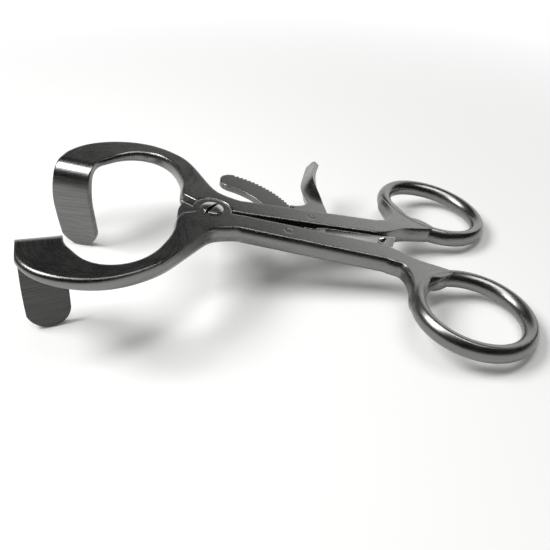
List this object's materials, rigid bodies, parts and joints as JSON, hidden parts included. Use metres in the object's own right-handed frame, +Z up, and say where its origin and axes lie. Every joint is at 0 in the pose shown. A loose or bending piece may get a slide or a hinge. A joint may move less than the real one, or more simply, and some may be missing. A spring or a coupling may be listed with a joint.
{
  "type": "self-retaining retractor",
  "caption": "Two-arm ratchet mouth gag with finger rings, curved jaws ending in bent-down flat blades, a toothed rack, and a sprung release lever.",
  "frame": {"origin": "centre of the bounding box on the table the instrument stands on, under its two blade tips and two rings", "axes": "+X from the jaws to the finger rings, +Y from the arm that carries the rack to the arm that carries the release lever, +Z up"},
  "size_m": [0.1404, 0.0902, 0.0298],
  "materials": {
    "satin_steel": "satin-brushed stainless steel",
    "polished_steel": "polished stainless steel",
    "spring_steel": "polished spring steel strip"
  },
  "bodies": {
    "rack_arm": {"near_arm": "satin_steel", "rack": "satin_steel", "rack_rivet": "polished_steel"},
    "lever_arm": {"far_arm": "satin_steel", "pivot_screw": "polished_steel", "lever_pin": "polished_steel", "leaf_spring": "spring_steel", "spring_screw": "polished_steel"},
    "lever": {"release_lever": "satin_steel"}
  },
  "joints": [
    {"name": "arm_hinge", "type": "hinge", "parent": "rack_arm", "child": "lever_arm", "pos_m": [-0.01925, 0, 0.02216], "axis": [0.2148, 0, 0.9767], "range_deg": [0, 42]},
    {"name": "lever_hinge", "type": "hinge", "parent": "lever_arm", "child": "lever", "pos_m": [0.00946, 0.00502, 0.01585], "axis": [0.2148, 0, 0.9767], "range_deg": [-9, 2.9], "stiffness_Nm_per_rad": 0.3, "springref_deg": 2.9, "deforming": ["leaf_spring"]}
  ]
}
